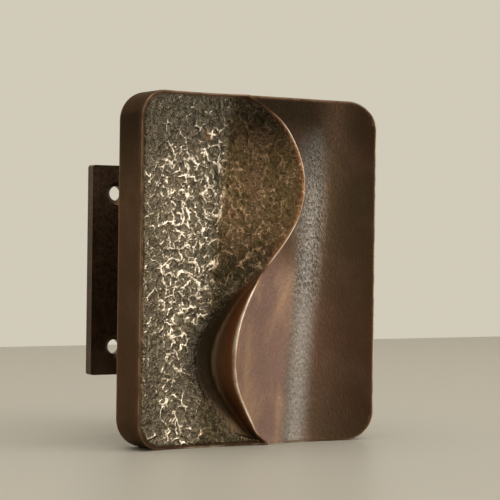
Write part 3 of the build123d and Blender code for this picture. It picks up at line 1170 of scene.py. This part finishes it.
def bronze_patina():
    """Dark brown patina on cast bronze, rubbed thin on the lobes and bright on ridges, crest and arrises."""
    n = Nodes("bronze_patina")
    texture, wear, stain, waxed = (n.painted(name) for name in ("texture", "wear", "stain", "waxed"))
    mottle = n.noise(55, detail=3, roughness=0.6)
    crevice = n.noise(520, detail=3, roughness=0.6, distortion=0.5)
    grain = n.noise(900, detail=3, roughness=0.6)
    pores = n.noise(1050, detail=2, roughness=0.5, stretch=(1, 1, 0.6), distortion=0.3)
    coarse = n.band(n.axis("Z"), *COARSE_WAX)
    squiggle = squiggles(n)

    base = n.mix(texture, brown_patina(n, mottle), crinkled_patina(n, mottle, crevice))
    # Painted shadow of the lower lobe on the field beside its wall
    base = n.mix(n.times(n.painted("groove"), 0.9), base, LOBE_SHADOW_COLOUR)
    # Painted highlight along the foot of the lower lobe's wall
    base = n.mix(n.times(n.painted("foot"), 0.45), base, FOOT_HIGHLIGHT_COLOUR)
    base = rubbed_lobes(n, base, texture, mottle, crevice)
    base = bright_ridges(n, base, texture, squiggle)
    # Painted sheen: grey along the wax band, with dark cracks
    base = sheen_on_wax(n, base, waxed, pores, coarse)
    # Painted shade towards the top and a little at the lower right
    base = painted_shade(n, base)
    base = n.mix(n.times(stain, 0.95), base, STAIN_COLOUR)
    rub = n.times(wear, n.band(n.noise(160, detail=4), 0.3, 0.62, 0.35, 1.0), clamp=True)
    base = n.mix(rub, base, n.mix(n.band(wear, 0.35, 0.8), WORN_COPPER, WORN_BRIGHT))
    n.feed("Base Color", base)

    oxide = n.times(stain, n.rest_of(rub))
    dusty = n.plus(n.times(oxide, 0.55), n.times(rub, 0.35))
    n.feed("Metallic", n.rest_of(dusty, clamp=True))
    n.feed("Specular Tint", (*BRONZE_EDGE_TINT, 1.0))
    satin = n.times(n.band(texture, 0.0, 0.5, 1.0, 0.0), n.band(n.axis("Z"), *SATIN_TOP, 0.10, 0.15))
    n.feed("Roughness", n.plus(n.band(grain, 0.3, 0.7, 0.26, 0.38), satin))
    n.feed("Coat Weight", n.times(n.times(waxed, 0.66), n.rest_of(rub)))
    n.feed("Coat Roughness", 0.29)
    n.feed("Coat IOR", 1.8)

    skin = n.plus(n.times(squiggle, 0.00025), n.times(grain, 0.0003))
    normal = n.bump(n.times(skin, texture), 1.0)
    grain_height = n.band(coarse, 0.0, 1.0, 0.00018, 0.00050)
    leather = n.times(pores, n.band(waxed, 0.0, 0.6, 0.00010, grain_height))
    normal = n.bump(leather, 1.0, normal=normal)
    normal = n.bump(n.noise(55, detail=2), 0.0003, 0.5, normal)
    n.feed("Normal", normal)
    n.feed("Coat Normal", normal)
    return n.material


def plate_patina():
    """Dark satin patina on the wrought plate, with painted shade on the side that looks left."""
    n = Nodes("plate_patina")
    base = n.mix(n.band(n.noise(70, detail=5), 0.35, 0.7), PLATE_DARK, PLATE_LIGHT)
    # Painted shade on the plate's side that looks left
    n.feed("Base Color", n.mix(n.band(n.axis("X"), *PLATE_SHADED_SIDE, 0.4, 0.0), base, SHADE_BLACK))
    n.feed("Metallic", 1.0)
    n.feed("Roughness", n.band(n.noise(700), 0.3, 0.7, 0.38, 0.52))
    n.feed("Normal", n.bump(n.noise(1100, detail=4), 0.00005))
    return n.material


def aged_brass():
    """Aged brass of the countersunk screws."""
    n = Nodes("screw_brass")
    n.feed("Base Color", n.mix(n.band(n.noise(300), 0.35, 0.7), BRASS_DARK, BRASS_LIGHT))
    n.feed("Metallic", 1.0)
    n.feed("Roughness", n.band(n.noise(900), 0.3, 0.7, 0.3, 0.45))
    n.feed("Normal", n.bump(n.noise(1600), 0.00003))
    return n.material


def dress_node(name, material, bevel):
    """Gives a CAD node its finish and breaks its sharp edges."""
    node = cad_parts[name]
    node.data.materials.clear()
    node.data.materials.append(material)
    modifier = node.modifiers.new("broken_edges", "BEVEL")
    modifier.width = bevel
    modifier.segments = BEVEL_SEGMENTS
    modifier.limit_method = "ANGLE"
    modifier.angle_limit = math.radians(BEVEL_FROM)


def add_stage(name, corners, material):
    """Adds one flat piece of the surroundings."""
    mesh = bpy.data.meshes.new(name)
    mesh.from_pydata(corners, [], [(0, 1, 2, 3)])
    mesh.materials.append(material)
    stage = bpy.data.objects.new(name, mesh)
    bpy.context.scene.collection.objects.link(stage)


def make_floor():
    """Pale table top that ends behind the part."""
    side, back, top = FLOOR_SIDE, FLOOR_BACK, grip_low.z * MM
    n = Nodes("floor")
    n.feed("Base Color", (*FLOOR_COLOUR, 1.0))
    n.feed("Roughness", FLOOR_ROUGHNESS)
    n.feed("Specular IOR Level", FLOOR_SPECULAR)
    corners = [(-side, -side, top), (side, -side, top), (side, back, top), (-side, back, top)]
    add_stage("floor", corners, n.material)


def make_wall():
    """Pale wall behind the table, which shows at its own colour to the camera and in reflections."""
    side, y, top = WALL_SIDE, WALL_Y, WALL_TOP
    low = grip_low.z * MM - WALL_BELOW_FLOOR
    n = Nodes("wall")
    n.feed("Base Color", (*WALL_COLOUR, 1.0))
    n.feed("Roughness", WALL_ROUGHNESS)
    material = pale_to_camera(n, WALL_COLOUR)
    add_stage("wall", [(-side, y, low), (side, y, low), (side, y, top), (-side, y, top)], material)


def pale_to_camera(n, colour):
    """The material with a plain glow in place of its shading for camera, glossy and clear rays."""
    path = n.new("ShaderNodeLightPath").outputs
    mirrored = n.math("MAXIMUM", path["Is Glossy Ray"], path["Is Transmission Ray"])
    seen = n.math("MAXIMUM", path["Is Camera Ray"], mirrored)
    glow = n.new("ShaderNodeEmission")
    glow.inputs["Color"].default_value = (*colour, 1.0)
    mix = n.new("ShaderNodeMixShader")
    n.link(seen, mix.inputs["Fac"])
    n.link(n.shader.outputs["BSDF"], mix.inputs[1])
    n.link(glow.outputs["Emission"], mix.inputs[2])
    n.link(mix.outputs["Shader"], n.tree.nodes["Material Output"].inputs["Surface"])
    return n.material


def make_world():
    """Dim, slightly warm light from all round."""
    world = bpy.data.worlds.new("world")
    world.use_nodes = True
    background = world.node_tree.nodes["Background"]
    background.inputs["Color"].default_value = (*WORLD_COLOUR, 1.0)
    background.inputs["Strength"].default_value = 1.0
    bpy.context.scene.world = world


def add_softbox(name, azimuth, elevation, distance, width, height, power, spread):
    """Area light that faces the panel. Angles are in degrees, lengths in metres and the power in watts."""
    a, e = math.radians(azimuth), math.radians(elevation)
    target = Vector((0, RIM * MM, RISE * MM))
    place = target + distance * Vector((math.sin(a) * math.cos(e), -math.cos(a) * math.cos(e), math.sin(e)))
    light = bpy.data.lights.new(name, "AREA")
    light.shape = "RECTANGLE"
    light.size, light.size_y = width, height
    light.spread = math.radians(spread)
    light.energy = power
    lamp = bpy.data.objects.new(name, light)
    lamp.location = place
    lamp.rotation_mode = "QUATERNION"
    lamp.rotation_quaternion = (target - place).to_track_quat("-Z", "Y")
    bpy.context.scene.collection.objects.link(lamp)


def add_camera():
    """Camera at the photo's view."""
    camera = bpy.data.objects.new("camera", bpy.data.cameras.new("camera"))
    place, aim = Vector(CAMERA_PLACE), Vector(CAMERA_AIM)
    camera.location = place
    camera.rotation_mode = "QUATERNION"
    roll = Quaternion((0, 0, 1), math.radians(CAMERA_ROLL))
    camera.rotation_quaternion = (aim - place).to_track_quat("-Z", "Y") @ roll
    camera.data.lens = CAMERA_LENS
    bpy.context.scene.collection.objects.link(camera)
    bpy.context.scene.camera = camera


add_camera()
make_floor()
make_wall()
make_world()
for name, values in SOFTBOXES.items():
    add_softbox(name, *values)
grip = make_grip()
grip.data.materials.append(bronze_patina())
dress_node("mounting_plate", plate_patina(), PLATE_BEVEL)
dress_node("plate_screws", aged_brass(), SCREW_BEVEL)
bpy.context.scene.view_settings.view_transform = "Standard"
